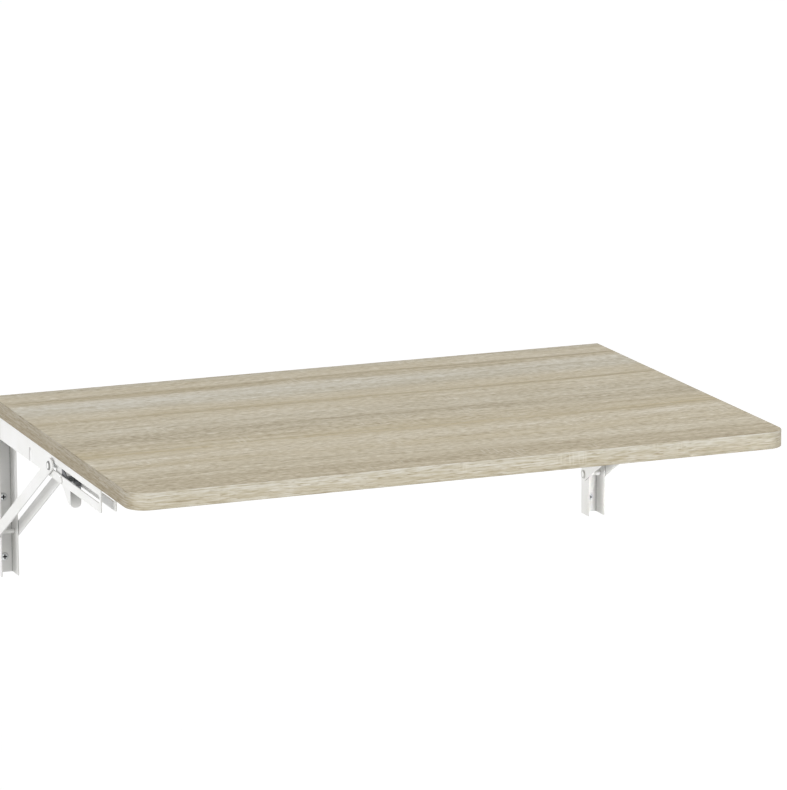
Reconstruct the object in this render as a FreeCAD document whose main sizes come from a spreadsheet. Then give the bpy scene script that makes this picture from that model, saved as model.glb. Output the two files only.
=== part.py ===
import FreeCAD, Part
import math
import os
import re
import Sketcher

# Wall mounted drop leaf table: a laminated board on two folding steel brackets.
# Millimetres, +Z up, +X to the right, front towards -Y, wall plane at Y = 0.
# The origin is the centre of the wall screw pattern. Each bracket is drawn about its own
# middle plane, with Z = 0 at the underside of the board, and is then put in its place.
# A reach is measured out from the wall, and a drop down from the underside of the board.

SIZES = {
    # Board
    "board_width": 900,
    "board_depth": 600,
    "board_thickness": 22,
    "corner_radius": 27,
    "band_thickness": 1.2,
    "band_edge_radius": 0.8,
    "glue_gap": 0.05,
    # Sheet steel and fits shared by both brackets
    "bracket_inset": 12.5,
    "sheet": 1.5,
    "bend_radius": 2,
    "side_gap": 0.4,
    "pin_gap": 0.05,
    "hole_gap": 0.3,
    "overrun": 5,
    # Wall channel
    "channel_width": 25,
    "channel_depth": 28,
    "channel_top_drop": 2,
    "channel_foot": 22,
    "channel_corner_radius": 2.5,
    # Wall screws
    "screw_drop": 119,
    "screw_pitch": 84,
    "wall_screw_radius": 2.4,
    "wall_screw_length": 28,
    "wall_neck_radius": 2.1,
    "wall_head_radius": 5.2,
    "wall_head_height": 2.2,
    "recess_length": 5.6,
    "recess_width": 1.3,
    "recess_depth": 1.3,
    "head_round_share": 0.8,
    # Arm channel
    "arm_height": 31.5,
    "arm_rear": 13,
    "arm_end_wall": 5,
    "arm_corner_radius": 4,
    "notch_width": 9,
    "notch_top_drop": 12,
    "slot_height": 10,
    "slot_drop": 15,
    "slot_end_gap": 0.5,
    # Board screws
    "board_screw_radius": 1.9,
    "board_screw_length": 15,
    "board_head_radius": 4,
    "board_head_height": 2,
    "board_screw_rear": 52,
    "board_screw_behind": 44,
    "board_screw_front": 96,
    "board_screw_end": 26,
    # Hinge pin, foot pin and rivets
    "hinge_reach": 20,
    "hinge_drop": 16,
    "pin_radius": 3,
    "pin_head_radius": 6,
    "pin_head_height": 1.6,
    "pin_head_round": 1,
    "foot_reach": 14,
    "foot_drop": 165,
    # Brace bars and slide studs
    "bar_width": 17,
    "bar_thickness": 2,
    "bar_gap": 0.4,
    "bar_tail": 9,
    "bar_tail_share": 0.47,
    "bar_nose": 15,
    "bar_nose_share": 0.65,
    "bar_tip_share": 0.18,
    "slide_reach": 266,
    "stud_gap": 0.3,
    "stud_inside": 1.2,
    "stud_collar_radius": 5.6,
    # Release lever
    "lever_ahead": 40,
    "lever_drop": 26,
    "lever_clear": 0.7,
    "lever_sheet": 1.2,
    "lever_pin_radius": 2.5,
    "lever_head_radius": 4.5,
    "latch_back": 34,
    "latch_rise": 13,
    "latch_height": 8,
    "pad_front": 28,
    "pad_drop": 31,
    "pad_round": 6,
    "shoulder_share": 0.7,
    "throat_share": 0.2,
    "heel_share": 0.3,
    # Return spring of the lever
    "spring_wire_radius": 0.6,
    "spring_radius": 4,
    "spring_pitch": 1.8,
    "spring_end_gap": 0.3,
}

# Whole turns of the return spring, besides the quarter turn between its legs.
SPRING_TURNS = 5

SIDES = {"left": "-1", "right": "1"}
ACROSS = FreeCAD.Vector(1, 0, 0)
FORWARD = FreeCAD.Vector(0, -1, 0)

doc = FreeCAD.newDocument("wall_drop_leaf_table")
sheet = doc.addObject("Spreadsheet::Sheet", "Sizes")
for row, (alias, number) in enumerate(SIZES.items(), 1):
    sheet.set("A%d" % row, alias)
    sheet.set("B%d" % row, str(number))
    sheet.setAlias("B%d" % row, alias)
doc.recompute()


def sized(text):
    """An expression in which each word that names a size points to its cell."""
    def point(found):
        word = found.group()
        return "Sizes." + word if word in SIZES else word
    return re.sub(r"[a-z_]+", point, text)


# Sizes that follow from the others
UNDERSIDE = "(screw_drop + screw_pitch / 2)"
BRACKET_CENTRE = "(board_width / 2 - bracket_inset)"
CHANNEL_HALF = "(channel_width / 2)"
CHANNEL_INNER = "(channel_width / 2 - sheet)"
CHANNEL_FOOT = "(screw_drop + screw_pitch + channel_foot)"
ARM_HALF = "(channel_width / 2 - sheet - side_gap)"
ARM_INNER = "(channel_width / 2 - 2 * sheet - side_gap)"
BAR_INNER = "(channel_width / 2 + bar_gap)"
BAR_OUTER = "(channel_width / 2 + bar_gap + bar_thickness)"
LEVER_HALF = "(channel_width / 2 - 2 * sheet - side_gap - stud_inside - lever_clear)"
STUD_INNER = "(channel_width / 2 - 2 * sheet - side_gap - stud_inside)"
BAR_SPAN = "sqrt((slide_reach - foot_reach) ^ 2 + (foot_drop - slot_drop) ^ 2)"
BAR_ANGLE = "atan((foot_drop - slot_drop) / (slide_reach - foot_reach))"
# With the leaf hanging, the slot stands this far out from the foot pin, which gives how far
# along the arm the studs have slid.
FOLDED_OFFSET = "(hinge_reach + hinge_drop - slot_drop - foot_reach)"
SLIDE_END = ("(hinge_reach - hinge_drop + foot_drop + sqrt((slide_reach - foot_reach) ^ 2"
             " + (foot_drop - slot_drop) ^ 2 - " + FOLDED_OFFSET + " ^ 2))")
SLOT_REAR = "(slide_reach - slot_end_gap)"
SLOT_FRONT = "(" + SLIDE_END + " + slot_end_gap)"
ARM_FRONT = "(" + SLIDE_END + " + slot_end_gap + slot_height / 2 + arm_end_wall)"
NOTCH_REACH = "(hinge_reach + foot_drop - hinge_drop)"
LEVER_REACH = "(slide_reach + lever_ahead)"
# The board screws are set out from the wall, from the studs at rest and from the front of the arm.
BOARD_SCREWS = ["board_screw_rear", "(slide_reach - board_screw_behind)",
                "(" + ARM_FRONT + " - board_screw_front)", "(" + ARM_FRONT + " - board_screw_end)"]


def new_body(label):
    """An empty body that carries one sub-part."""
    body = doc.addObject("PartDesign::Body", label)
    body.Label = label
    return body


def new_sketch(body, role, offset):
    """A sketch on one of the body's own planes, moved along that plane's normal."""
    sketch = body.newObject("Sketcher::SketchObject", body.Label + "_sketch")
    plane = next(item for item in body.Origin.OriginFeatures if item.Role == role)
    sketch.AttachmentSupport = [(plane, "")]
    sketch.MapMode = "FlatFace"
    sketch.setExpression("AttachmentOffset.Base.z", sized(offset))
    return sketch


def fix_point(sketch, geometry, position, place):
    """Ties one point of a sketch to a pair of expressions measured from the sketch origin."""
    for kind, text in zip(("DistanceX", "DistanceY"), place):
        number = sketch.addConstraint(Sketcher.Constraint(kind, -1, 1, geometry, position, 1.0))
        sketch.setExpression("Constraints[%d]" % number, sized(text))


def outlines(body, role, shapes, offset="0"):
    """Closed outlines of straight sides, each a list of (x, y) expressions for its corners."""
    sketch = new_sketch(body, role, offset)
    for corners in shapes:
        first = sketch.GeometryCount
        count = len(corners)
        turns = [2 * math.pi * number / count for number in range(count)]
        spread = [FreeCAD.Vector(math.cos(turn), math.sin(turn), 0) for turn in turns]
        for number in range(count):
            sketch.addGeometry(Part.LineSegment(spread[number], spread[(number + 1) % count]), False)
        for number, place in enumerate(corners):
            following = first + (number + 1) % count
            sketch.addConstraint(Sketcher.Constraint("Coincident", first + number, 2, following, 1))
            fix_point(sketch, first + number, 1, place)
    return sketch


def circles(body, role, centres, radius, offset="0"):
    """Circles of one radius about the given (x, y) expressions."""
    sketch = new_sketch(body, role, offset)
    for number, centre in enumerate(centres):
        sketch.addGeometry(Part.Circle(FreeCAD.Vector(), FreeCAD.Vector(0, 0, 1), 1.0), False)
        fix_point(sketch, number, 3, centre)
        limit = sketch.addConstraint(Sketcher.Constraint("Radius", number, 1.0))
        sketch.setExpression("Constraints[%d]" % limit, sized(radius))
    return sketch


def grow(body, kind, sketch, length=None, reverse=False, symmetric=False):
    """A pad or pocket of a sketch. Without a length a pocket goes through everything."""
    feature = body.newObject("PartDesign::" + kind, body.Label + "_" + kind.lower())
    feature.Profile = sketch
    feature.Reversed = reverse
    if symmetric:
        feature.SideType = "Symmetric"
    if length is None:
        feature.Type = "ThroughAll"
    else:
        feature.setExpression("Length", sized(length))
    return feature


def pad(body, sketch, length, reverse=False, symmetric=False):
    return grow(body, "Pad", sketch, length, reverse, symmetric)


def cut_through(body, sketch):
    return grow(body, "Pocket", sketch, symmetric=True)


def round_edges(body, base, names, radius):
    """Rounds the named edges of the body's last feature."""
    fillet = body.newObject("PartDesign::Fillet", body.Label + "_fillet")
    fillet.Base = (base, names)
    fillet.setExpression("Radius", sized(radius))
    doc.recompute()
    return fillet


def corner_edges(feature, sketch, corners):
    """Names of the edges that a pad or pocket drew out from some corners of its sketch."""
    doc.recompute()
    normal = sketch.Placement.Rotation.multVec(FreeCAD.Vector(0, 0, 1))
    places = [sketch.Placement.multVec(sketch.getPoint(corner, 1)) for corner in corners]
    names = []
    for number, edge in enumerate(feature.Shape.Edges, 1):
        if not isinstance(edge.Curve, Part.Line) or not edge.Curve.Direction.isParallel(normal, 1e-6):
            continue
        start = edge.Vertexes[0]
        offsets = [(start.Point - place).cross(normal).Length for place in places]
        if min(offsets) < 10 * start.Tolerance:
            names.append("Edge%d" % number)
    return names


def straight_edges(feature, direction, keep):
    """Names of the straight edges along a direction whose bounding boxes pass a test."""
    doc.recompute()
    names = []
    for number, edge in enumerate(feature.Shape.Edges, 1):
        straight = isinstance(edge.Curve, Part.Line)
        if straight and edge.Curve.Direction.isParallel(direction, 1e-6) and keep(edge.BoundBox):
            names.append("Edge%d" % number)
    return names


def outer_rims(feature, measure):
    """Names of the round edges whose centres lie furthest out by the given measure."""
    doc.recompute()
    reach = {}
    for number, edge in enumerate(feature.Shape.Edges, 1):
        if isinstance(edge.Curve, Part.Circle):
            reach["Edge%d" % number] = measure(edge.Curve.Center)
    furthest = max(reach.values())
    return [name for name, far in reach.items() if math.isclose(far, furthest)]


def put(item, side=None, reach="0", drop="0"):
    """Moves a finished sub-part from its drawing place to its place on the table."""
    across = "0" if side is None else SIDES[side] + " * " + BRACKET_CENTRE
    item.setExpression("Placement.Base.x", sized(across))
    item.setExpression("Placement.Base.y", sized("-(" + reach + ")"))
    item.setExpression("Placement.Base.z", sized(UNDERSIDE + " - " + drop))


def rectangle(left, right, low, high):
    return [(left, low), (right, low), (right, high), (left, high)]


def screw_places():
    """Board screws seen from above, in the frame of the whole table."""
    return [(turn + " * " + BRACKET_CENTRE, "-" + reach)
            for turn in SIDES.values() for reach in BOARD_SCREWS]


def rounded_slab(label, inset, back, low, high):
    """A slab with the outline of the board, drawn in by an inset, with its front corners rounded."""
    body = new_body(label)
    half = "(board_width / 2 - " + inset + ")"
    front = "-(board_depth - " + inset + ")"
    sketch = outlines(body, "XY_Plane", [rectangle("-" + half, half, front, back)], low)
    slab = pad(body, sketch, high + " - (" + low + ")")
    round_edges(body, slab, corner_edges(slab, sketch, (0, 1)), "corner_radius - " + inset)
    return body


# Table board: a chipboard panel with its front corners rounded and blind pilot holes below
def make_panel():
    inset = "(band_thickness + glue_gap)"
    body = rounded_slab("tabletop_panel", inset, "-" + inset, "0", "board_thickness")
    pilot = circles(body, "XY_Plane", screw_places(), "board_screw_radius + pin_gap")
    grow(body, "Pocket", pilot, "board_screw_length - sheet + hole_gap", reverse=True)
    put(body)
    return body


# Edge band round the front and both ends, bent round the front corners
def make_front_band():
    outside = rounded_slab("band_outside", "0", "0", "0", "board_thickness")
    slab = outside.Tip
    rims = []
    for number, edge in enumerate(slab.Shape.Edges, 1):
        box = edge.BoundBox
        blur = edge.Vertexes[0].Tolerance
        level = math.isclose(box.ZMin, box.ZMax, abs_tol=blur)
        behind = math.isclose(box.YMin, slab.Shape.BoundBox.YMax, abs_tol=blur)
        if level and not behind:
            rims.append("Edge%d" % number)
    round_edges(outside, slab, rims, "band_edge_radius")
    above = "(board_thickness + overrun)"
    inside = rounded_slab("band_inside", "band_thickness", "overrun", "-overrun", above)
    band = doc.addObject("Part::Cut", "front_edge_band")
    band.Label = "front_edge_band"
    band.Base = outside
    band.Tool = inside
    put(band)
    return band


# Edge band on the back edge, between the two ends of the front band
def make_rear_band():
    body = new_body("rear_edge_band")
    half = "(board_width / 2 - band_thickness - glue_gap)"
    sketch = outlines(body, "XY_Plane", [rectangle("-" + half, half, "-band_thickness", "0")])
    pad(body, sketch, "board_thickness")
    put(body)
    return body


# Wall channel: a U of sheet steel with its web on the wall and its flanges forward
def make_wall_channel(side):
    body = new_body(side + "_wall_channel")
    section = [("-" + CHANNEL_HALF, "0"), (CHANNEL_HALF, "0"),
               (CHANNEL_HALF, "-channel_depth"), (CHANNEL_INNER, "-channel_depth"),
               (CHANNEL_INNER, "-sheet"), ("-" + CHANNEL_INNER, "-sheet"),
               ("-" + CHANNEL_INNER, "-channel_depth"), ("-" + CHANNEL_HALF, "-channel_depth")]
    sketch = outlines(body, "XY_Plane", [section], "-" + CHANNEL_FOOT)
    walls = pad(body, sketch, CHANNEL_FOOT + " - channel_top_drop")
    bent = round_edges(body, walls, corner_edges(walls, sketch, (0, 1)), "bend_radius")
    tip = bent.Shape.BoundBox.YMin
    tips = straight_edges(bent, ACROSS, lambda box: math.isclose(box.YMin, tip))
    round_edges(body, bent, tips, "channel_corner_radius")
    pins = [("-hinge_reach", "-hinge_drop"), ("-foot_reach", "-foot_drop")]
    cut_through(body, circles(body, "YZ_Plane", pins, "pin_radius + pin_gap"))
    screws = [("0", "-screw_drop"), ("0", "-(screw_drop + screw_pitch)")]
    cut_through(body, circles(body, "XZ_Plane", screws, "wall_screw_radius + hole_gap"))
    put(body, side)
    return body


# Arm channel: a U of sheet steel open downwards, screwed under the board. Its flanges have
# the long slot of the brace, the notch that clears the foot pin, and the two pin holes.
def make_arm_channel(side):
    body = new_body(side + "_arm_channel")
    section = [("-" + ARM_HALF, "0"), (ARM_HALF, "0"),
               (ARM_HALF, "-arm_height"), (ARM_INNER, "-arm_height"),
               (ARM_INNER, "-sheet"), ("-" + ARM_INNER, "-sheet"),
               ("-" + ARM_INNER, "-arm_height"), ("-" + ARM_HALF, "-arm_height")]
    sketch = outlines(body, "XZ_Plane", [section], "arm_rear")
    walls = pad(body, sketch, ARM_FRONT + " - arm_rear")
    bent = round_edges(body, walls, corner_edges(walls, sketch, (0, 1)), "bend_radius")
    low = bent.Shape.BoundBox.ZMin
    low_ends = straight_edges(bent, ACROSS, lambda box: math.isclose(box.ZMax, low))
    round_edges(body, bent, low_ends, "arm_corner_radius")
    slot_low = "-(slot_drop + slot_height / 2)"
    slot_high = "-(slot_drop - slot_height / 2)"
    slot = rectangle("-" + SLOT_FRONT, "-" + SLOT_REAR, slot_low, slot_high)
    cut_through(body, outlines(body, "YZ_Plane", [slot]))
    slot_ends = [("-" + SLOT_REAR, "-slot_drop"), ("-" + SLOT_FRONT, "-slot_drop")]
    cut_through(body, circles(body, "YZ_Plane", slot_ends, "slot_height / 2"))
    notch_centre = "-(notch_top_drop + notch_width / 2)"
    notch_front = "-(" + NOTCH_REACH + " + notch_width / 2)"
    notch_rear = "-(" + NOTCH_REACH + " - notch_width / 2)"
    notch = rectangle(notch_front, notch_rear, "-(arm_height + overrun)", notch_centre)
    cut_through(body, outlines(body, "YZ_Plane", [notch]))
    cut_through(body, circles(body, "YZ_Plane", [("-" + NOTCH_REACH, notch_centre)], "notch_width / 2"))
    hinge = [("-hinge_reach", "-hinge_drop")]
    cut_through(body, circles(body, "YZ_Plane", hinge, "pin_radius + pin_gap"))
    lever = [("-" + LEVER_REACH, "-lever_drop")]
    cut_through(body, circles(body, "YZ_Plane", lever, "lever_pin_radius + pin_gap"))
    screws = [("0", "-" + reach) for reach in BOARD_SCREWS]
    cut_through(body, circles(body, "XY_Plane", screws, "board_screw_radius + hole_gap"))
    put(body, side)
    return body


# A riveted pin across the bracket, with a low rounded head at each end
def make_pin(label, side, reach, drop, radius, half_length, head_radius):
    body = new_body(label)
    centre = [("-" + reach, "-" + drop)]
    pad(body, circles(body, "YZ_Plane", centre, radius), "2 * " + half_length, symmetric=True)
    for sign, away in (("", False), ("-", True)):
        head = circles(body, "YZ_Plane", centre, head_radius, sign + half_length)
        last = pad(body, head, "pin_head_height", reverse=away)
    round_edges(body, last, outer_rims(last, lambda point: abs(point.x)), "pin_head_round")
    put(body, side)
    return body


# Brace bar: a flat steel bar from the foot pin to the slide stud, drawn lying level and then
# raised to its slope
def make_bar(label, side, outward):
    body = new_body(label)
    outline = rectangle("-(" + BAR_SPAN + " + bar_nose)", "bar_tail", "-bar_width / 2", "bar_width / 2")
    offset = BAR_INNER if outward > 0 else "-" + BAR_INNER
    sketch = outlines(body, "YZ_Plane", [outline], offset)
    flat = pad(body, sketch, "bar_thickness", reverse=outward < 0)
    tip = round_edges(body, flat, corner_edges(flat, sketch, (0,)), "bar_tip_share * bar_width")
    nose = round_edges(body, tip, corner_edges(tip, sketch, (3,)), "bar_nose_share * bar_width")
    round_edges(body, nose, corner_edges(nose, sketch, (1, 2)), "bar_tail_share * bar_width")
    ends = [("0", "0"), ("-" + BAR_SPAN, "0")]
    cut_through(body, circles(body, "YZ_Plane", ends, "pin_radius + pin_gap"))
    body.Placement.Rotation = FreeCAD.Rotation(-ACROSS, 1.0)
    body.setExpression("Placement.Rotation.Angle", sized(BAR_ANGLE))
    put(body, side, "foot_reach", "foot_drop")
    return body


# Rivets at the upper end of the brace, one through each bar with its head outside
def make_head_rivets(side):
    body = new_body(side + "_brace_head_rivets")
    centre = [("-slide_reach", "-slot_drop")]
    for sign, away in (("", False), ("-", True)):
        shank = circles(body, "YZ_Plane", centre, "pin_radius", sign + BAR_INNER)
        pad(body, shank, "bar_thickness", reverse=away)
        head = circles(body, "YZ_Plane", centre, "pin_head_radius", sign + BAR_OUTER)
        last = pad(body, head, "pin_head_height", reverse=away)
    round_edges(body, last, outer_rims(last, lambda point: abs(point.x)), "pin_head_round")
    put(body, side)
    return body


# Studs that slide in the slots of the arm, each with a collar between the arm and the bar
def make_slide_studs(side):
    body = new_body(side + "_slide_studs")
    centre = [("-slide_reach", "-slot_drop")]
    collar_inner = "(" + ARM_HALF + " + stud_gap)"
    for sign, away in (("", False), ("-", True)):
        shank = circles(body, "YZ_Plane", centre, "slot_height / 2 - stud_gap", sign + STUD_INNER)
        pad(body, shank, collar_inner + " - " + STUD_INNER, reverse=away)
        collar = circles(body, "YZ_Plane", centre, "stud_collar_radius", sign + collar_inner)
        pad(body, collar, BAR_INNER + " - stud_gap - " + collar_inner, reverse=away)
    put(body, side)
    return body


# Release lever: a pressed steel latch with two cheeks, joined in front by the finger pad
def make_release_lever(side):
    body = new_body(side + "_release_lever")
    nose = "-(" + LEVER_REACH + " - latch_back)"
    front = "-(" + LEVER_REACH + " + pad_front)"
    top = "-(lever_drop - latch_rise)"
    bottom = "-(lever_drop + pad_drop)"
    shoulder = "-(" + LEVER_REACH + " + shoulder_share * pad_front)"
    heel = "-(" + LEVER_REACH + " - throat_share * latch_back)"
    side_view = [(nose, top), ("-" + LEVER_REACH, top),
                 (shoulder, "-(lever_drop - heel_share * latch_rise)"),
                 (front, "-(lever_drop + throat_share * latch_rise)"),
                 (front, bottom), (shoulder, bottom),
                 (heel, "-(lever_drop + heel_share * pad_drop)"),
                 (nose, top + " - latch_height")]
    sketch = outlines(body, "YZ_Plane", [side_view])
    pad(body, sketch, "2 * " + LEVER_HALF, symmetric=True)
    inside = "(" + LEVER_HALF + " - lever_sheet)"
    pad_back = "-(" + LEVER_REACH + " + pad_front - lever_sheet)"
    hollow = rectangle("-" + inside, inside, pad_back, nose + " + overrun")
    cut = cut_through(body, outlines(body, "XY_Plane", [hollow]))
    doc.recompute()
    whole = cut.Shape.BoundBox
    corners = straight_edges(cut, FORWARD, lambda box: math.isclose(box.ZMax, whole.ZMin)
                             and math.isclose(abs(box.XMax), whole.XMax))
    round_edges(body, cut, corners, "pad_round")
    pin = [("-" + LEVER_REACH, "-lever_drop")]
    cut_through(body, circles(body, "YZ_Plane", pin, "lever_pin_radius + pin_gap"))
    put(body, side)
    return body


def biarc(start, start_way, end, end_way):
    """Two arcs that leave one point and reach another along given unit directions.

    Both tangents have the same length: it makes the line between their tips as long as
    the two of them together, and the arcs meet in the middle of that line.
    """
    gap = end - start
    ways = start_way + end_way
    spread = 2 * (1 - start_way.dot(end_way))
    along = gap.dot(ways)
    reach = (math.sqrt(along * along + spread * gap.dot(gap)) - along) / spread
    knees = (start + start_way * reach, end - end_way * reach)
    meet = (knees[0] + knees[1]) * 0.5
    arcs = []
    for first, knee, last in ((start, knees[0], meet), (meet, knees[1], end)):
        middle = (first + last) * 0.5
        rise = knee - middle
        half_chord = (last - first).Length / 2
        sagitta = half_chord * math.tan(math.atan2(rise.Length, half_chord) / 2)
        arcs.append(Part.Arc(first, middle + rise * (sagitta / rise.Length), last).toShape())
    return arcs


# Return spring: one unbroken wire wound round the lever pin. One leg runs forward to the back of
# the finger pad, the other up to the web of the arm.
def make_lever_spring(side):
    wire = sheet.get("spring_wire_radius")
    radius = sheet.get("spring_radius")
    pitch = sheet.get("spring_pitch")
    gap = sheet.get("spring_end_gap")
    pad_back = sheet.get("pad_front") - sheet.get("lever_sheet") - gap
    web_below = sheet.get("lever_drop") - sheet.get("sheet") - gap
    quarters = 4 * SPRING_TURNS + 1
    length = pitch * quarters / 4
    points = []
    ways = []
    for quarter in range(quarters + 1):
        angle = -math.pi / 2 - quarter * math.pi / 2
        across = pitch * quarter / 4 - length / 2
        points.append(FreeCAD.Vector(across, -radius * math.cos(angle), radius * math.sin(angle)))
        inner = 0 < quarter < quarters
        climb = pitch / (2 * math.pi) if inner else 0
        way = FreeCAD.Vector(climb, -radius * math.sin(angle), -radius * math.cos(angle))
        ways.append(way.normalize())
    forward_tip = FreeCAD.Vector(points[0].x, -pad_back, points[0].z)
    upper_tip = FreeCAD.Vector(points[-1].x, points[-1].y, web_below)
    edges = [Part.LineSegment(forward_tip, points[0]).toShape()]
    for number in range(quarters):
        edges += biarc(points[number], ways[number], points[number + 1], ways[number + 1])
    edges.append(Part.LineSegment(points[-1], upper_tip).toShape())
    path = Part.Wire(edges)
    ring = Part.Wire([Part.Circle(forward_tip, FreeCAD.Vector(0, 1, 0), wire).toShape()])
    tube = path.makePipeShell([ring], True, False)
    samples = path.discretize(Number=40 * quarters)
    reach = path.Length / len(samples)
    skip = int(math.pi * radius / reach)
    least = min((samples[first] - samples[second]).Length
                for first in range(len(samples)) for second in range(first + skip, len(samples)))
    print(side, "lever spring: least gap to itself %.2f mm" % (least - 2 * wire),
          "volume ratio %.4f" % (tube.Volume / (math.pi * wire ** 2 * path.Length)))
    item = doc.addObject("Part::Feature", side + "_lever_spring")
    item.Label = side + "_lever_spring"
    item.Shape = tube
    put(item, side, LEVER_REACH, "lever_drop")
    return item


# Cross recess of a screw head: a plus sign about the given centre
def cross(x, y):
    long_way = "recess_length / 2"
    short_way = "recess_width / 2"
    quarters = (("-", "-", False), ("+", "-", True), ("+", "+", False), ("-", "+", True))
    steps = []
    for a, c, turned in quarters:
        quarter = [(a, long_way, c, short_way), (a, short_way, c, short_way), (a, short_way, c, long_way)]
        steps += reversed(quarter) if turned else quarter
    return [(x + " " + a + " " + b, y + " " + c + " " + d) for a, b, c, d in steps]


# Wall screws: pan heads on the webs of the wall channels, thin necks through the webs, and plain
# shanks into the wall
def make_wall_screws():
    body = new_body("wall_screws")
    places = [(turn + " * " + BRACKET_CENTRE, drop) for turn in SIDES.values()
              for drop in ("-screw_drop", "-(screw_drop + screw_pitch)")]
    shanks = circles(body, "XZ_Plane", places, "wall_screw_radius")
    pad(body, shanks, "wall_screw_length - sheet", reverse=True)
    pad(body, circles(body, "XZ_Plane", places, "wall_neck_radius"), "sheet")
    heads = pad(body, circles(body, "XZ_Plane", places, "wall_head_radius", "sheet"), "wall_head_height")
    rims = outer_rims(heads, lambda point: -point.y)
    round_edges(body, heads, rims, "head_round_share * wall_head_height")
    recess = outlines(body, "XZ_Plane", [cross(*place) for place in places], "sheet + wall_head_height")
    grow(body, "Pocket", recess, "recess_depth")
    put(body)
    return body


# Board screws: pan heads inside the arms, shanks up into the panel
def make_board_screws():
    body = new_body("board_screws")
    places = screw_places()
    pad(body, circles(body, "XY_Plane", places, "board_screw_radius", "-sheet"), "board_screw_length")
    circle = circles(body, "XY_Plane", places, "board_head_radius", "-sheet")
    heads = pad(body, circle, "board_head_height", reverse=True)
    rims = outer_rims(heads, lambda point: -point.z)
    round_edges(body, heads, rims, "head_round_share * board_head_height")
    put(body)
    return body


parts = [make_panel(), make_front_band(), make_rear_band(), make_wall_screws(), make_board_screws()]
for side in SIDES:
    parts.append(make_wall_channel(side))
    parts.append(make_arm_channel(side))
    parts.append(make_pin(side + "_hinge_pin", side, "hinge_reach", "hinge_drop",
                          "pin_radius", CHANNEL_HALF, "pin_head_radius"))
    parts.append(make_pin(side + "_foot_pin", side, "foot_reach", "foot_drop",
                          "pin_radius", "(" + BAR_OUTER + " + pin_gap)", "pin_head_radius"))
    parts.append(make_bar(side + "_brace_left_bar", side, -1))
    parts.append(make_bar(side + "_brace_right_bar", side, 1))
    parts.append(make_head_rivets(side))
    parts.append(make_slide_studs(side))
    parts.append(make_release_lever(side))
    parts.append(make_pin(side + "_lever_pin", side, LEVER_REACH, "lever_drop",
                          "lever_pin_radius", ARM_HALF, "lever_head_radius"))
    parts.append(make_lever_spring(side))

doc.recompute()
failed = [item.Label for item in doc.Objects if "Invalid" in item.State or "Error" in item.State]
failed += [part.Label for part in parts if part.Shape.isNull() or not part.Shape.isValid()]
if failed:
    raise RuntimeError("not built: " + ", ".join(failed))

os.makedirs("parts", exist_ok=True)
for part in parts:
    part.Shape.exportStep("parts/" + part.Label + ".step")
print(len(parts), "sub-parts written")
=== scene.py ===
import math

import bpy
import numpy as np
from mathutils import Matrix, Vector


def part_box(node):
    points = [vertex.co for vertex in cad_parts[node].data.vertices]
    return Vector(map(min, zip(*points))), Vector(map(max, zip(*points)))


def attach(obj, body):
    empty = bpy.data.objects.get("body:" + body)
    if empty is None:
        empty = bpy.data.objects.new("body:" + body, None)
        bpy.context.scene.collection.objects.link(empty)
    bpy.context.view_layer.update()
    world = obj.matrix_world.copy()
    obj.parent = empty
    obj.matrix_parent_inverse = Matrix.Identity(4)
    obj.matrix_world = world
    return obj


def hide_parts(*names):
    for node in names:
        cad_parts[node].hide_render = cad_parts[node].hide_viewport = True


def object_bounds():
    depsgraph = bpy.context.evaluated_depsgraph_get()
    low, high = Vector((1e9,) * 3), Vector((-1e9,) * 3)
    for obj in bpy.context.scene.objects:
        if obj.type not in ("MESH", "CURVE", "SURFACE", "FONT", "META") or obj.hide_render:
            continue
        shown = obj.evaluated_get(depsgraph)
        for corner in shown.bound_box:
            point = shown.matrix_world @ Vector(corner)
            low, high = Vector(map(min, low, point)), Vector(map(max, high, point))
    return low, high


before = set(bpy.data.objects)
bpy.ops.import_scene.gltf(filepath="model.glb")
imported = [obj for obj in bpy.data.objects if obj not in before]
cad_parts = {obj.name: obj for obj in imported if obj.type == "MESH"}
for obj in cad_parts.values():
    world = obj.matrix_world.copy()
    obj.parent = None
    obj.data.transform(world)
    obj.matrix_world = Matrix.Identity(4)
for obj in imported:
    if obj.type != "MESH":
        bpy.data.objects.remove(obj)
cad_box = [list(corner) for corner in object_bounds()]


# Wall channels: pressed steel U sections, screwed to the wall with the web against it.
# They are zinc phosphated, sprayed with white polyester powder and baked, which leaves a
# smooth semi-matt skin with a faint orange peel.

SIDES = ("left", "right")
# Real orange peel is 1 to 2 mm wide: it is drawn coarser, so that it shows.
PEEL_WIDTH = 0.004
PEEL_DEPTH = 0.0004
# The film is thicker and thinner, and so drifts by a shade, over some centimetres.
FILM_DRIFT = 0.06
# Painted shade lies this far out of the corners where pieces meet.
CREVICE_REACH = 0.002


def linear(code):
    """A colour written as an sRGB hex value, as the linear red, green, blue and alpha of a shader."""
    channels = np.array([int(code[start:start + 2], 16) for start in (1, 3, 5)]) / 255
    low = channels / 12.92
    high = ((channels + 0.055) / 1.055) ** 2.4
    return (*np.where(channels <= 0.04045, low, high), 1.0)


def add(tree, kind, inputs, **settings):
    """One shader node with its settings.

    An input is a value, a socket, or a node whose first output it takes.
    """
    made = tree.nodes.new("ShaderNode" + kind)
    for name, value in settings.items():
        setattr(made, name, value)
    for name, value in inputs.items():
        if isinstance(value, bpy.types.Node):
            value = value.outputs[0]
        if isinstance(value, bpy.types.NodeSocket):
            tree.links.new(value, made.inputs[name])
        else:
            made.inputs[name].default_value = value
    return made


def fill_ramp(ramp, stops):
    """Sets the stops of a colour ramp: each is a place from 0 to 1 and a linear colour."""
    elements = ramp.color_ramp.elements
    while len(elements) < len(stops):
        elements.new(0.5)
    for element, (at, colour) in zip(elements, stops):
        element.position = at
        element.color = colour


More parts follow.
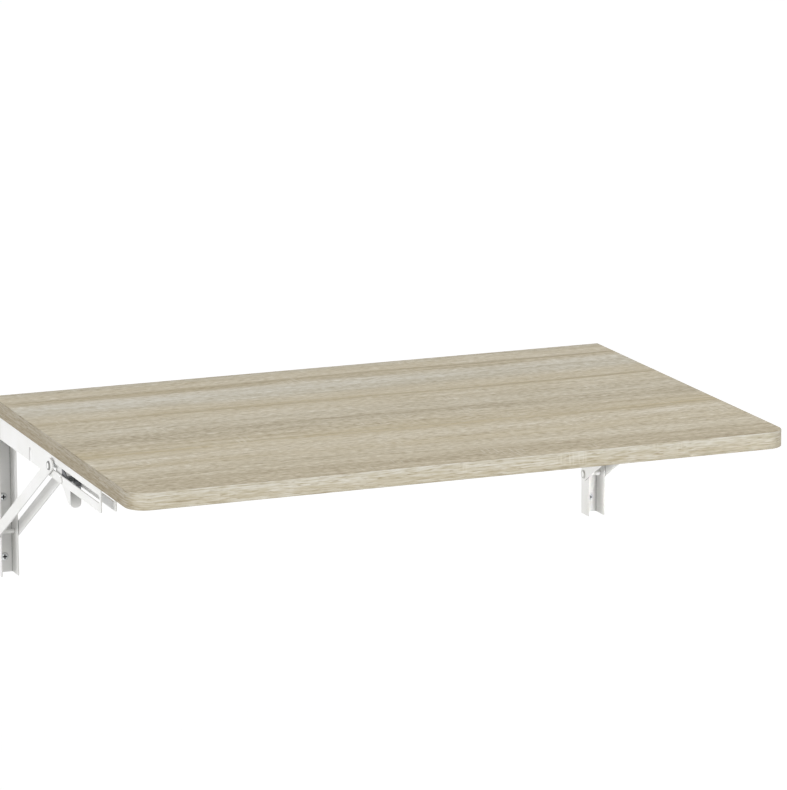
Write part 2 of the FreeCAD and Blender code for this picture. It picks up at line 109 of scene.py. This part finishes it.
def new_material(name):
    """An empty node material, its tree to fill, and the place on the piece that its patterns read."""
    made = bpy.data.materials.new(name)
    made.use_nodes = True
    made.node_tree.nodes.clear()
    return made, made.node_tree, add(made.node_tree, "TexCoord", {}).outputs["Object"]


def powder_skin(tree, place):
    """White polyester powder: tinted by its film, roughened by its peel, with painted shade in the
    crevices.
    """
    peel = add(tree, "TexNoise", {"Vector": place, "Scale": 1 / PEEL_WIDTH, "Detail": 2.0})
    film = add(tree, "TexNoise", {"Vector": place, "Scale": 1 / FILM_DRIFT, "Detail": 1.0})
    tint = add(tree, "ValToRGB", {"Fac": film})
    fill_ramp(tint, ((0.35, linear("#f3f3f0")), (0.65, linear("#f9f9f8"))))
    # Painted shade: the coat turns grey where ambient occlusion finds a corner near.
    open_air = add(tree, "AmbientOcclusion", {"Distance": CREVICE_REACH}, samples=8)
    unshaded = add(tree, "MapRange", {"Value": open_air.outputs["AO"], "From Min": 0.4, "From Max": 0.85})
    base = add(tree, "Mix", {0: unshaded, 6: linear("#858580"), 7: tint}, data_type="RGBA")
    gloss = add(tree, "MapRange", {"Value": peel, "From Min": 0.3, "From Max": 0.7,
                                   "To Min": 0.36, "To Max": 0.46})
    relief = add(tree, "Bump", {"Height": peel, "Strength": 0.12, "Distance": PEEL_DEPTH})
    return add(tree, "BsdfPrincipled", {"Base Color": base.outputs[2], "Roughness": gloss,
                                        "Normal": relief})


def dress(material, *names):
    """Gives CAD nodes their finish in place of the plain one that they came with."""
    for name in names:
        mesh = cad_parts[name].data
        mesh.materials.clear()
        mesh.materials.append(material)


white_coat, coat_tree, coat_place = new_material("white_polyester_powder_coat")
add(coat_tree, "OutputMaterial", {"Surface": powder_skin(coat_tree, coat_place)})
for side in SIDES:
    dress(white_coat, side + "_wall_channel")


# Wall screws: pan head wood screws with a cross recess, rolled from wire and bright zinc plated.
# Two hold each wall channel, with the head on its web and the thread in the wall.

# Handling clouds the bright metal in spots about this wide.
CLOUD_WIDTH = 0.003
WALL_HEAD_RADIUS = 0.0052


def zinc_plate():
    """Bright zinc on steel: a blue-white metal, with painted shade dark in the cross recess."""
    plated, tree, place = new_material("bright_zinc_plated_steel")
    cloud = add(tree, "TexNoise", {"Vector": place, "Scale": 1 / CLOUD_WIDTH, "Detail": 3.0})
    tint = add(tree, "ValToRGB", {"Fac": cloud})
    fill_ramp(tint, ((0.3, linear("#d2d4d6")), (0.7, linear("#eceeef"))))
    # Painted shade: near black in the cross recess, by the share that the head is sunk there.
    sunk = add(tree, "Attribute", {}, attribute_name="recess")
    base = add(tree, "Mix", {0: sunk.outputs["Fac"], 6: tint, 7: linear("#2b2b2d")}, data_type="RGBA")
    dull = add(tree, "MapRange", {"Value": cloud, "From Min": 0.3, "From Max": 0.7,
                                  "To Min": 0.28, "To Max": 0.42})
    metal = add(tree, "BsdfPrincipled", {"Base Color": base.outputs[2], "Roughness": dull,
                                         "Metallic": 1.0})
    add(tree, "OutputMaterial", {"Surface": metal})
    return plated


def screws(name, tops, aim, head, neck, thread, cross):
    """Cross recess screws, all of one size, as one mesh.

    Head is its radius, its height and the height of its rim. Neck is its radius and where it ends.
    Thread is the radius of its root and of its crest, its pitch, the length of its tip and where it
    ends. Cross is the length, width and depth of its bars.

    Each screw is a grid of an angle round the axis and a row from the middle of the head to the tip.
    A row has a depth below the head's top and a radius. On the head the depth falls as the fourth
    power of the radius to a square rim, and is sunk inside a cross: the nearer of two crossed bars,
    sunk most in the middle. On the thread the radius rises from root to crest as a ridge that climbs
    one pitch each turn, and both close to a point over the tip.
    """
    head_radius, head_rise, head_rim = head
    neck_radius, neck_end = neck
    root, crest, pitch, tip, end = thread
    bar_length, bar_width, bar_depth = cross
    round_steps = 48
    rows_per_turn = 8
    ridge_share = 0.22
    wall_share = 0.15
    middle_share = 1.1
    tip_power = 0.7
    # Rows of the head, as shares of its radius, lie closer over the recess than out to the rim.
    over_recess = np.linspace(0, 0.62, 15)
    out_to_rim = (0.72, 0.82, 0.9, 0.96, 1.0)
    angle = np.linspace(0, 2 * np.pi, round_steps, endpoint=False)
    crown = np.concatenate((over_recess, out_to_rim)) * head_radius
    rows = int((end - neck_end) / pitch * rows_per_turn)
    depth_crown = (head_rise - head_rim) * (crown / head_radius) ** 4
    depth_thread = np.linspace(neck_end, end, rows)
    under_head = (head_radius, neck_radius, neck_radius)
    radius = np.concatenate((crown, under_head, np.full(rows, root)))
    depth = np.concatenate((depth_crown, (head_rise, head_rise, neck_end), depth_thread))
    radius = np.repeat(radius[:, None], round_steps, 1)
    depth = np.repeat(depth[:, None], round_steps, 1)
    turn = (depth / pitch - angle / (2 * np.pi)) % 1
    ridge = np.clip(1 - np.abs(turn - 0.5) / ridge_share, 0, 1)
    taper = np.clip((end - depth) / tip, 0, 1) ** tip_power
    lead = np.clip((depth - neck_end) / pitch, 0, 1)
    cut = slice(len(crown) + len(under_head), None)
    radius[cut] = ((root + (crest - root) * ridge * lead) * taper)[cut]
    one = radius * np.cos(angle)
    other = radius * np.sin(angle)
    bar = np.maximum(np.abs(one) - bar_length / 2, np.abs(other) - bar_width / 2)
    crossing = np.maximum(np.abs(other) - bar_length / 2, np.abs(one) - bar_width / 2)
    on_head = (np.arange(len(radius)) < len(crown))[:, None]
    sunk = np.clip(-np.minimum(bar, crossing) / (wall_share * bar_width), 0, 1) * on_head
    depth = depth + bar_depth * sunk * (middle_share - radius / bar_length)
    aim = np.array(aim, float)
    first = np.array((1.0, 0.0, 0.0))
    second = np.cross(aim, first)
    shape = one[..., None] * first + other[..., None] * second + depth[..., None] * aim
    points = np.array(tops)[:, None, None, :] + shape
    row, step = np.meshgrid(np.arange(len(radius) - 1), np.arange(round_steps), indexing="ij")
    after = (step + 1) % round_steps
    quads = np.stack((row * round_steps + step, (row + 1) * round_steps + step,
                      (row + 1) * round_steps + after, row * round_steps + after), -1).reshape(-1, 4)
    faces = (np.arange(len(tops))[:, None, None] * radius.size + quads).reshape(-1, 4)
    mesh = bpy.data.meshes.new(name)
    mesh.from_pydata(points.reshape(-1, 3).tolist(), [], faces.tolist())
    # The recess share is kept for the painted shade in the cross of the zinc.
    recess = mesh.attributes.new("recess", "FLOAT", "POINT")
    recess.data.foreach_set("value", np.tile(sunk.ravel(), len(tops)))
    mesh.polygons.foreach_set("use_smooth", np.ones(len(faces), bool))
    piece = bpy.data.objects.new(name, mesh)
    bpy.context.scene.collection.objects.link(piece)
    return piece


zinc = zinc_plate()
channel_low, channel_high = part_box("right_wall_channel")
bracket_middle = (channel_low[0] + channel_high[0]) / 2
wall_low, wall_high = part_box("wall_screws")
screw_height = wall_high[2] - WALL_HEAD_RADIUS
wall_tops = [(x, wall_low[1], z) for x in (-bracket_middle, bracket_middle)
             for z in (-screw_height, screw_height)]
wall_screws = screws("wall_screws_threaded", wall_tops, (0, 1, 0),
                     head=(WALL_HEAD_RADIUS, 0.0022, 0.0010), neck=(0.0021, 0.0037),
                     thread=(0.0017, 0.0024, 0.0021, 0.006, 0.0302), cross=(0.0068, 0.0021, 0.0013))
wall_screws.data.materials.append(zinc)
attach(wall_screws, "wall_brackets")
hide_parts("wall_screws")


# Hinge pins, foot pins and brace bars: the bars are flat steel punched at each end. The pins and
# the rivets at the head of the brace are closed over at their ends, and coated white.

# Painted shade: a grey metal ring round the rim of each head, starting this far from its axis.
RIM_START = 0.0038
RIM_END = 0.0044
# The painted shade in the ring of the foot pins is a lighter grey.
RIM_TONES = {"hinge_pin": "#8a8a88", "foot_pin": "#c2c2be", "brace_head_rivets": "#8a8a88"}


def rim_shaded_coat(name, piece, tone):
    """Powder coat on a rivet along X: past the start of the rim, grey metal as painted shade."""
    coat, tree, place = new_material(name)
    low, high = np.array(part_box(piece))
    axis = (0.0, *((low + high) / 2)[1:])
    off = add(tree, "VectorMath", {0: place, 1: axis}, operation="SUBTRACT")
    flat = add(tree, "VectorMath", {0: off, 1: (0.0, 1.0, 1.0)}, operation="MULTIPLY")
    radius = add(tree, "VectorMath", {0: flat}, operation="LENGTH").outputs["Value"]
    # Painted shade: the ring outside this radius is grey metal in place of the coat.
    rim_shade = add(tree, "MapRange", {"Value": radius, "From Min": RIM_START, "From Max": RIM_END})
    steel = add(tree, "BsdfPrincipled", {"Base Color": linear(tone), "Roughness": 0.5,
                                         "Metallic": 0.6})
    both = add(tree, "MixShader", {0: rim_shade, 1: powder_skin(tree, place), 2: steel})
    add(tree, "OutputMaterial", {"Surface": both})
    return coat


for piece, tone in RIM_TONES.items():
    rim_shade = rim_shaded_coat("rim_shaded_powder_coat_" + piece, "left_" + piece, tone)
    dress(rim_shade, *(side + "_" + piece for side in SIDES))
for side in SIDES:
    dress(white_coat, side + "_brace_left_bar", side + "_brace_right_bar")


# Arm channels: steel pressings, slotted on both flanges and coated white. Each is hung on its hinge
# pin at the wall and screwed to the board.

for side in SIDES:
    dress(white_coat, side + "_arm_channel")


# Release levers: steel pressings on a rivet through both flanges of the arm, coated white. The flank
# inside the arm ahead of the rivet has painted shade: dark grey metal for the shadowed hollow of the
# arm behind its slot. The front of the finger pad has painted shade too, grey and darker towards
# the arm.

# The painted shade on the flank starts this far from the wall.
FLANK_START = 0.298
# The front face of the finger pad reaches this far behind the lever's foremost point.
PAD_FACE = 0.0005
# The painted shade on the flank is mottled as coarse as the peel.
FLANK_MOTTLE_WIDTH = PEEL_WIDTH


def lever_coat_with_painted_shade(name, lever, foot):
    """Powder coated steel with painted shade: grey metal on the flank and grey on the finger pad.

    The flank is above the foot of the arm and ahead of its start. The painted shade on the pad is on
    its front face, and grows from nothing at the lever's lowest point to all of it at the foot of the
    arm.
    """
    steel, tree, place = new_material(name)
    flank_mottle = add(tree, "TexNoise", {"Vector": place, "Scale": 1 / FLANK_MOTTLE_WIDTH, "Detail": 2.0})
    tint = add(tree, "ValToRGB", {"Fac": flank_mottle})
    fill_ramp(tint, ((0.3, linear("#66676a")), (0.7, linear("#929396"))))
    # Painted shade: the flank is dark grey metal where the arm's hollow lies in shadow.
    flank_shade = add(tree, "BsdfPrincipled", {"Base Color": tint, "Roughness": 0.55, "Metallic": 0.5})
    spot = add(tree, "SeparateXYZ", {"Vector": place})
    high = add(tree, "Math", {0: spot.outputs["Z"], 1: foot}, operation="GREATER_THAN")
    ahead = add(tree, "Math", {0: spot.outputs["Y"], 1: -FLANK_START}, operation="LESS_THAN")
    flank_in_shade = add(tree, "Math", {0: high, 1: ahead}, operation="MULTIPLY")
    foremost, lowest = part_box(lever)[0][1:]
    front = add(tree, "Math", {0: spot.outputs["Y"], 1: foremost + PAD_FACE}, operation="LESS_THAN")
    # Painted shade on the pad's front face: darker towards the arm.
    pad_shade = add(tree, "MapRange", {"Value": spot.outputs["Z"], "From Min": lowest, "From Max": foot,
                                  "To Min": 0.0, "To Max": front})
    pad_shade_grey = add(tree, "BsdfPrincipled", {"Base Color": linear("#7d7e79"), "Roughness": 0.5})
    pad_shaded = add(tree, "MixShader", {0: pad_shade, 1: powder_skin(tree, place), 2: pad_shade_grey})
    both = add(tree, "MixShader", {0: flank_in_shade, 1: pad_shaded, 2: flank_shade})
    add(tree, "OutputMaterial", {"Surface": both})
    return steel


arm_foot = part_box("left_arm_channel")[0][2]
lever_shaded_coat = lever_coat_with_painted_shade("lever_coat_with_painted_shade", "left_release_lever", arm_foot)
for side in SIDES:
    dress(lever_shaded_coat, side + "_release_lever")
    dress(white_coat, side + "_lever_pin")


# Board screws: short pan head screws with a cross recess, rolled from wire and bright zinc plated.
# Four are driven up through the web of each arm into the board.

# Places of the screws along an arm, as distances from the wall.
BOARD_SCREW_REACHES = (0.052, 0.222, 0.37668, 0.44668)

board_screw_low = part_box("board_screws")[0][2]
board_tops = [(x, -reach, board_screw_low) for x in (-bracket_middle, bracket_middle)
              for reach in BOARD_SCREW_REACHES]
board_screws = screws("board_screws_threaded", board_tops, (0, 0, 1),
                      head=(0.0040, 0.0020, 0.0008), neck=(0.0017, 0.0035),
                      thread=(0.0013, 0.0019, 0.0017, 0.004, 0.0170), cross=(0.0044, 0.0011, 0.0011))
board_screws.data.materials.append(zinc)
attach(board_screws, "leaf")
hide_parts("board_screws")


# Slide studs: turned steel, bright zinc plated. They carry the top of each brace, and are left
# without powder because they run in the slots of the arm.

for side in SIDES:
    dress(zinc, side + "_slide_studs")


# Lever springs: hard drawn steel wire, coiled round the rivet of each lever. The wire is oiled and
# not plated, so it keeps the bright grey that the die gave it.

# Draw marks are finer than a hair: they are drawn as clouds this wide.
DRAW_MARK = 0.0012


def spring_wire():
    """Hard drawn steel wire: bright grey metal, clouded by its draw marks."""
    wire, tree, place = new_material("hard_drawn_spring_wire")
    marks = add(tree, "TexNoise", {"Vector": place, "Scale": 1 / DRAW_MARK, "Detail": 2.0})
    tint = add(tree, "ValToRGB", {"Fac": marks})
    fill_ramp(tint, ((0.2, linear("#a3a6a9")), (0.8, linear("#d4d6d8"))))
    metal = add(tree, "BsdfPrincipled", {"Base Color": tint, "Roughness": 0.35, "Metallic": 1.0})
    add(tree, "OutputMaterial", {"Surface": metal})
    return wire


spring_steel = spring_wire()
for side in SIDES:
    dress(spring_steel, side + "_lever_spring")


# Table board: chipboard pressed with a printed melamine face, and screwed to both arms. The print is
# light sawn oak with its grain along the table. It has slow bands of growth, honey coloured lines,
# short pores and saw marks.

BOARD_DEPTH = 0.600
# Bands of the print, each a place in millimetres from the wall with three amounts from 0 to 1: the
# shade, from pale sapwood to dark heartwood, the honey of a growth line, and the silver of cool wood.
BOARD_BANDS = (
    (0, 0.42, 0.0, 0.7), (24, 0.42, 0.3, 0.0), (42, 0.34, 0.3, 0.0), (56, 0.62, 0.5, 0.0),
    (70, 0.60, 0.2, 0.0), (86, 0.27, 0.0, 0.4), (106, 0.29, 0.0, 0.7), (122, 0.38, 0.0, 0.7),
    (136, 0.40, 0.0, 0.7), (152, 0.39, 0.0, 0.2), (168, 0.50, 0.3, 0.0), (182, 0.42, 0.3, 0.0),
    (198, 0.49, 0.6, 0.0), (212, 0.45, 0.2, 0.0), (232, 0.47, 0.1, 0.0), (270, 0.48, 0.0, 0.3),
    (296, 0.50, 0.0, 0.2), (312, 0.71, 0.0, 0.2), (328, 0.67, 0.0, 0.2), (344, 0.54, 0.0, 0.0),
    (362, 0.60, 0.2, 0.0), (381, 0.45, 0.8, 0.0), (397, 0.45, 0.8, 0.0), (412, 0.44, 0.1, 0.0),
    (428, 0.39, 0.0, 0.0), (450, 0.47, 0.1, 0.0), (464, 0.45, 0.4, 0.0), (484, 0.54, 0.0, 0.0),
    (512, 0.50, 0.0, 0.1), (566, 0.73, 0.0, 0.0), (600, 0.72, 0.0, 0.0))
# Dark growth lines, each a place and a half width in millimetres and a strength.
BOARD_LINES = ((56, 6, 0.54), (197, 6, 0.46), (382, 5, 0.48), (398, 5, 0.38), (464, 5, 0.12))
# Layers of the grain, as length, width and strength: growth rings, fibres and fine grain.
BOARD_GRAIN = ((0.500, 0.0200, 0.70), (0.100, 0.0060, 0.75), (0.011, 0.0026, 1.65))
# The bands drift in waves of this length, and of this share of the span in width. The slow drift
# carries a whole band along, and the ragged one, weaker by its own share, frays its edges.
SLOW_LENGTH = 0.70
SLOW_SHARE = 0.30
RAGGED_LENGTH = 0.07
RAGGED_SHARE = 0.03
RAGGED_WANDER = 0.25
# Marks of the print, as length with the grain and width over it. Real pores are 0.3 mm wide and saw
# marks 1 mm apart: both are drawn three to five times as coarse, so that they show.
LINE_FADE = (0.35, 0.03)
STRAND = (0.60, 0.006)
PORE = (0.016, 0.0013)
SAW_PATCH = (0.09, 0.06)
SAW_MARK = (0.0036, 0.04)
PORE_DEPTH = 0.0003
# How far honey covers the wood under it.
HONEY_COVER = 0.9
# A strip on the edge turns more brown and darker over this stretch, round its corners: partly its
# print, partly painted shade on the ends.
CORNER_START = 0.42
CORNER_END = 0.50


def stretched(tree, grid, size, seed):
    """Noise in grains of a size, their length and width in metres, along and across the wood."""
    length, width = size
    spot = add(tree, "Mapping", {"Vector": grid, "Location": (0.0, 0.0, seed),
                                 "Scale": (1 / length, 1 / width, 1.0)})
    return add(tree, "TexNoise", {"Vector": spot, "Scale": 1.0, "Detail": 1.5, "Roughness": 0.6})


def swing(tree, noise, amount, base):
    """The base, moved up or down by an amount of noise."""
    off = add(tree, "Math", {0: noise, 1: 0.5}, operation="SUBTRACT")
    return add(tree, "Math", {0: off, 1: amount, 2: base}, operation="MULTIPLY_ADD")


def oak_print(name, along, across, span, wander, bands, lines, grain, sawn, brown_and_shade):
    """Printed oak on melamine.

    Along and across are distances in metres with the grain and over it. Across drifts by the wander,
    slowly along the grain and a little at ragged edges, and then looks up its shade, honey and silver
    in the bands, which reach over the span. The layers of grain swing the shade, which picks its tone
    of oak, and silver cools it. Honey is laid over that, and fades and comes back along the grain.
    The dark growth lines come next. Each rises from its edges to its middle, follows the slow drift
    without the ragged edges, fades with the honey and is broken into strands. Pores and pale saw
    marks, as strong as sawn, lie on top. A strip on the edge turns more brown and darker past its
    corners, partly as painted shade on the ends.
    """
    oak, tree, spot = new_material(name)
    place = add(tree, "SeparateXYZ", {"Vector": spot})
    run = along(tree, place)
    over = across(tree, place)
    flat = add(tree, "CombineXYZ", {"X": run, "Y": over})
    slow = stretched(tree, flat, (SLOW_LENGTH, SLOW_SHARE * span), seed=3.0)
    ragged = stretched(tree, flat, (RAGGED_LENGTH, RAGGED_SHARE * span), seed=5.0)
    smooth = swing(tree, slow, wander, over)
    frayed = swing(tree, ragged, RAGGED_WANDER * wander, smooth)
    grid = add(tree, "CombineXYZ", {"X": run, "Y": frayed})

    share = add(tree, "Math", {0: frayed, 1: 1 / span}, operation="MULTIPLY")
    table = add(tree, "ValToRGB", {"Fac": share})
    fill_ramp(table, [(at / 1000 / span, (*amounts, 1.0)) for at, *amounts in bands])
    band = add(tree, "SeparateColor", {"Color": table})
    tone = band.outputs["Red"]
    for layer, (length, width, strength) in enumerate(grain):
        noise = stretched(tree, grid, (length, width), seed=11.0 + 2.0 * layer)
        tone = swing(tree, noise, strength, tone)
    base = add(tree, "ValToRGB", {"Fac": tone})
    fill_ramp(base, ((0.0, linear("#d4cdbd")), (0.5, linear("#bcb198")), (1.0, linear("#998c72"))))
    cool = add(tree, "Mix", {0: band.outputs["Blue"], 6: base, 7: linear("#f5f9ff")},
               data_type="RGBA", blend_type="MULTIPLY")

    fade = add(tree, "MapRange", {"Value": stretched(tree, grid, LINE_FADE, seed=19.0),
                                  "From Min": 0.36, "From Max": 0.60, "To Min": 0.35, "To Max": 1.0})
    honey = add(tree, "Math", {0: band.outputs["Green"], 1: fade}, operation="MULTIPLY")
    tint = add(tree, "Math", {0: honey, 1: HONEY_COVER}, operation="MULTIPLY")
    warm = add(tree, "Mix", {0: tint, 6: cool.outputs[2], 7: linear("#b2a27b")}, data_type="RGBA")
    thin = add(tree, "MapRange", {"Value": stretched(tree, grid, STRAND, seed=41.0),
                                  "From Min": 0.42, "From Max": 0.60, "To Min": 0.3, "To Max": 1.0})
    path = add(tree, "Math", {0: smooth, 1: 1 / span}, operation="MULTIPLY")
    line = add(tree, "ValToRGB", {"Fac": path})
    fill_ramp(line, [((at + side * half) / 1000 / span, (level, level, level, 1.0))
                     for at, half, strength in lines
                     for side, level in ((-1, 0.0), (0, strength), (1, 0.0))])
    drawn = add(tree, "Math", {0: line, 1: fade}, operation="MULTIPLY")
    strands = add(tree, "Math", {0: drawn, 1: thin}, operation="MULTIPLY")
    lined = add(tree, "Mix", {0: strands, 6: warm.outputs[2], 7: linear("#6f6350")}, data_type="RGBA")

    pores = add(tree, "MapRange", {"Value": stretched(tree, grid, PORE, seed=23.0),
                                   "From Min": 0.58, "From Max": 0.70, "To Min": 0.0, "To Max": 0.7})
    dark = add(tree, "Mix", {0: pores, 6: lined.outputs[2], 7: linear("#8b7c60")}, data_type="RGBA")
    patch = add(tree, "MapRange", {"Value": stretched(tree, flat, SAW_PATCH, seed=31.0),
                                   "From Min": 0.60, "From Max": 0.70})
    ticks = add(tree, "MapRange", {"Value": stretched(tree, flat, SAW_MARK, seed=29.0),
                                   "From Min": 0.50, "From Max": 0.66, "To Min": 0.0, "To Max": sawn})
    saw = add(tree, "Math", {0: ticks, 1: patch}, operation="MULTIPLY")
    pale = add(tree, "Mix", {0: saw, 6: dark.outputs[2], 7: linear("#dcd7ca")}, data_type="RGBA")

    # Partly print, partly painted shade: past the corners the strip is multiplied by a brown grey.
    out = add(tree, "Math", {0: run}, operation="ABSOLUTE")
    past = add(tree, "MapRange", {"Value": out, "From Min": CORNER_START, "From Max": CORNER_END,
                                  "To Min": 0.0, "To Max": brown_and_shade})
    ends_brown_and_shaded = add(tree, "Mix", {0: past, 6: pale.outputs[2], 7: linear("#d2cabd")},
               data_type="RGBA", blend_type="MULTIPLY")
    height = add(tree, "Math", {0: saw, 1: pores}, operation="SUBTRACT")
    relief = add(tree, "Bump", {"Height": height, "Strength": 0.25, "Distance": PORE_DEPTH})
    gloss = add(tree, "MapRange", {"Value": tone, "To Min": 0.46, "To Max": 0.58})
    face = add(tree, "BsdfPrincipled", {"Base Color": ends_brown_and_shaded.outputs[2], "Roughness": gloss,
                                        "Normal": relief, "Specular IOR Level": 0.35})
    add(tree, "OutputMaterial", {"Surface": face})
    return oak


def along_board(tree, place):
    """Grain along the table: the place from left to right."""
    return place.outputs["X"]


def across_board(tree, place):
    """Across the grain: the distance from the wall."""
    return add(tree, "Math", {0: place.outputs["Y"], 1: -1.0}, operation="MULTIPLY")


board_print = oak_print("oak_printed_melamine", along_board, across_board, span=BOARD_DEPTH,
                        wander=0.05, bands=BOARD_BANDS, lines=BOARD_LINES, grain=BOARD_GRAIN,
                        sawn=0.38, brown_and_shade=0.0)
dress(board_print, "tabletop_panel")


# Edge band: a strip of the same printed oak, ironed on round the front and both ends and along
# the back, with its grain along the edge.

BOARD_THICK = 0.022
# The same tables as those of the board, with places in millimetres above its underside.
# The shade rises towards the underside partly as painted shade, so the strip is darker towards its
# bottom.
BAND_BANDS = ((0, 0.46, 0.0, 0.9), (8, 0.43, 0.1, 0.7), (12, 0.33, 0.0, 0.8), (22, 0.23, 0.0, 1.0))
BAND_LINES = ((8, 3, 0.1),)
BAND_GRAIN = ((0.150, 0.0050, 0.65), (0.045, 0.0020, 1.25), (0.018, 0.0013, 1.40))


def along_band(tree, place):
    """Along the strip: X on the front, carried on round the corners by the distance back from it."""
    back = add(tree, "Math", {0: place.outputs["Y"], 1: BOARD_DEPTH}, operation="ADD")
    way = add(tree, "Math", {0: place.outputs["X"]}, operation="SIGN")
    return add(tree, "Math", {0: back, 1: way, 2: place.outputs["X"]}, operation="MULTIPLY_ADD")


def across_band(tree, place):
    """Across the strip: the height above the underside of the board."""
    underside = cad_box[1][2] - BOARD_THICK
    return add(tree, "Math", {0: place.outputs["Z"], 1: underside}, operation="SUBTRACT")


band_print = oak_print("oak_printed_edge_band", along_band, across_band, span=BOARD_THICK,
                       wander=0.006, bands=BAND_BANDS, lines=BAND_LINES, grain=BAND_GRAIN,
                       sawn=0.45, brown_and_shade=0.9)
dress(band_print, "front_edge_band", "rear_edge_band")


# Studio: a pale floor, with the table at its usual height above it, in an even white room. A soft
# lamp high in front lights the top, a wide low one on the left lights the end, and a small low lamp
# with a grid lights the right bracket.

TABLE_HEIGHT = 0.74
FLOOR_REACH = 30.0
# Light that the room gives the table. To the eye the room is white.
ROOM_LEVEL = 0.68
# What the floor shows the eye beyond the light that falls on it, so that it is white too.
FLOOR_LIFT = 0.58


def seen(tree):
    """One where a ray comes from the eye, from a reflection or through glass."""
    path = add(tree, "LightPath", {})
    either = add(tree, "Math", {0: path.outputs["Is Camera Ray"], 1: path.outputs["Is Glossy Ray"]},
                 operation="MAXIMUM")
    return add(tree, "Math", {0: either, 1: path.outputs["Is Transmission Ray"]}, operation="MAXIMUM")


corners = np.array(((-1, -1), (1, -1), (1, 1), (-1, 1))) * FLOOR_REACH
spots = np.column_stack((corners, np.full(len(corners), cad_box[1][2] - TABLE_HEIGHT)))
floor_mesh = bpy.data.meshes.new("floor")
floor_mesh.from_pydata(spots.tolist(), [], [(0, 1, 2, 3)])
floor = bpy.data.objects.new("floor", floor_mesh)
bpy.context.scene.collection.objects.link(floor)
matt, floor_tree = new_material("matt_white_floor")[:2]
paint = add(floor_tree, "BsdfDiffuse", {"Color": linear("#cfcfcf")})
lift = add(floor_tree, "Math", {0: seen(floor_tree), 1: FLOOR_LIFT}, operation="MULTIPLY")
glow = add(floor_tree, "Emission", {"Color": linear("#ffffff"), "Strength": lift})
above = add(floor_tree, "AddShader", {0: paint, 1: glow})
# From below the floor can be seen through, so that the underside of the table shows.
beneath = add(floor_tree, "NewGeometry", {}).outputs["Backfacing"]
clear = add(floor_tree, "BsdfTransparent", {})
both_ways = add(floor_tree, "MixShader", {0: beneath, 1: above, 2: clear})
add(floor_tree, "OutputMaterial", {"Surface": both_ways})
floor_mesh.materials.append(matt)

room = bpy.data.worlds.new("white_room")
bpy.context.scene.world = room
room.use_nodes = True
room_tree = room.node_tree
room_tree.nodes.clear()
level = add(room_tree, "MapRange", {"Value": seen(room_tree), "To Min": ROOM_LEVEL, "To Max": 1.0})
sky = add(room_tree, "Background", {"Color": linear("#ffffff"), "Strength": level})
add(room_tree, "OutputWorld", {"Surface": sky})


def softbox(name, place, target, width, height, power, spread):
    """A soft lamp that faces a target, with a grid that spreads its light by some degrees."""
    light = bpy.data.lights.new(name, "AREA")
    light.shape = "RECTANGLE"
    light.size = width
    light.size_y = height
    light.energy = power
    light.spread = math.radians(spread)
    lamp = bpy.data.objects.new(name, light)
    lamp.location = place
    lamp.rotation_euler = (Vector(target) - lamp.location).to_track_quat("-Z", "Y").to_euler()
    bpy.context.scene.collection.objects.link(lamp)


table_middle = (0.0, -0.3, 0.1)
right_bracket = (bracket_middle, 0.0, 0.0)
softbox("front_softbox", (0.2, -3.3, 2.1), table_middle,
        width=0.9, height=0.9, power=59.0, spread=180.0)
softbox("left_softbox", (-9.0, -3.2, -0.12), table_middle,
        width=5.0, height=0.8, power=310.0, spread=180.0)
softbox("low_gridded_lamp", (0.9, -3.2, -0.38), right_bracket,
        width=0.2, height=0.2, power=0.18, spread=11.0)


# Camera: a long lens some metres off, above the leaf and to its left. It looks down a little, and
# the lens isn't shifted.

PICTURE_WIDTH = 787
LENS_IN_PIXELS = 4241.66
SENSOR = 36.0
# Where it stands in metres, and how far it is turned, tilted and rolled in radians.
STAND = (-2.01486, -5.40551, 1.43685)
TURNED = -0.37861
TILTED = 0.22029
ROLLED = -0.0036

level_right = Vector((math.cos(TURNED), math.sin(TURNED), 0.0))
level_reach = math.cos(TILTED)
forward = Vector((-math.sin(TURNED) * level_reach, math.cos(TURNED) * level_reach, -math.sin(TILTED)))
level_up = level_right.cross(forward)
right = math.cos(ROLLED) * level_right + math.sin(ROLLED) * level_up
up = math.cos(ROLLED) * level_up - math.sin(ROLLED) * level_right
aim = Matrix((right, up, -forward)).transposed().to_4x4()
lens = bpy.data.cameras.new("camera")
lens.sensor_fit = "HORIZONTAL"
lens.sensor_width = SENSOR
lens.lens = LENS_IN_PIXELS * SENSOR / PICTURE_WIDTH
lens.clip_end = 100.0
camera = bpy.data.objects.new("camera", lens)
camera.matrix_world = Matrix.Translation(STAND) @ aim
bpy.context.scene.collection.objects.link(camera)
bpy.context.scene.camera = camera
bpy.context.scene.view_settings.view_transform = "Standard"
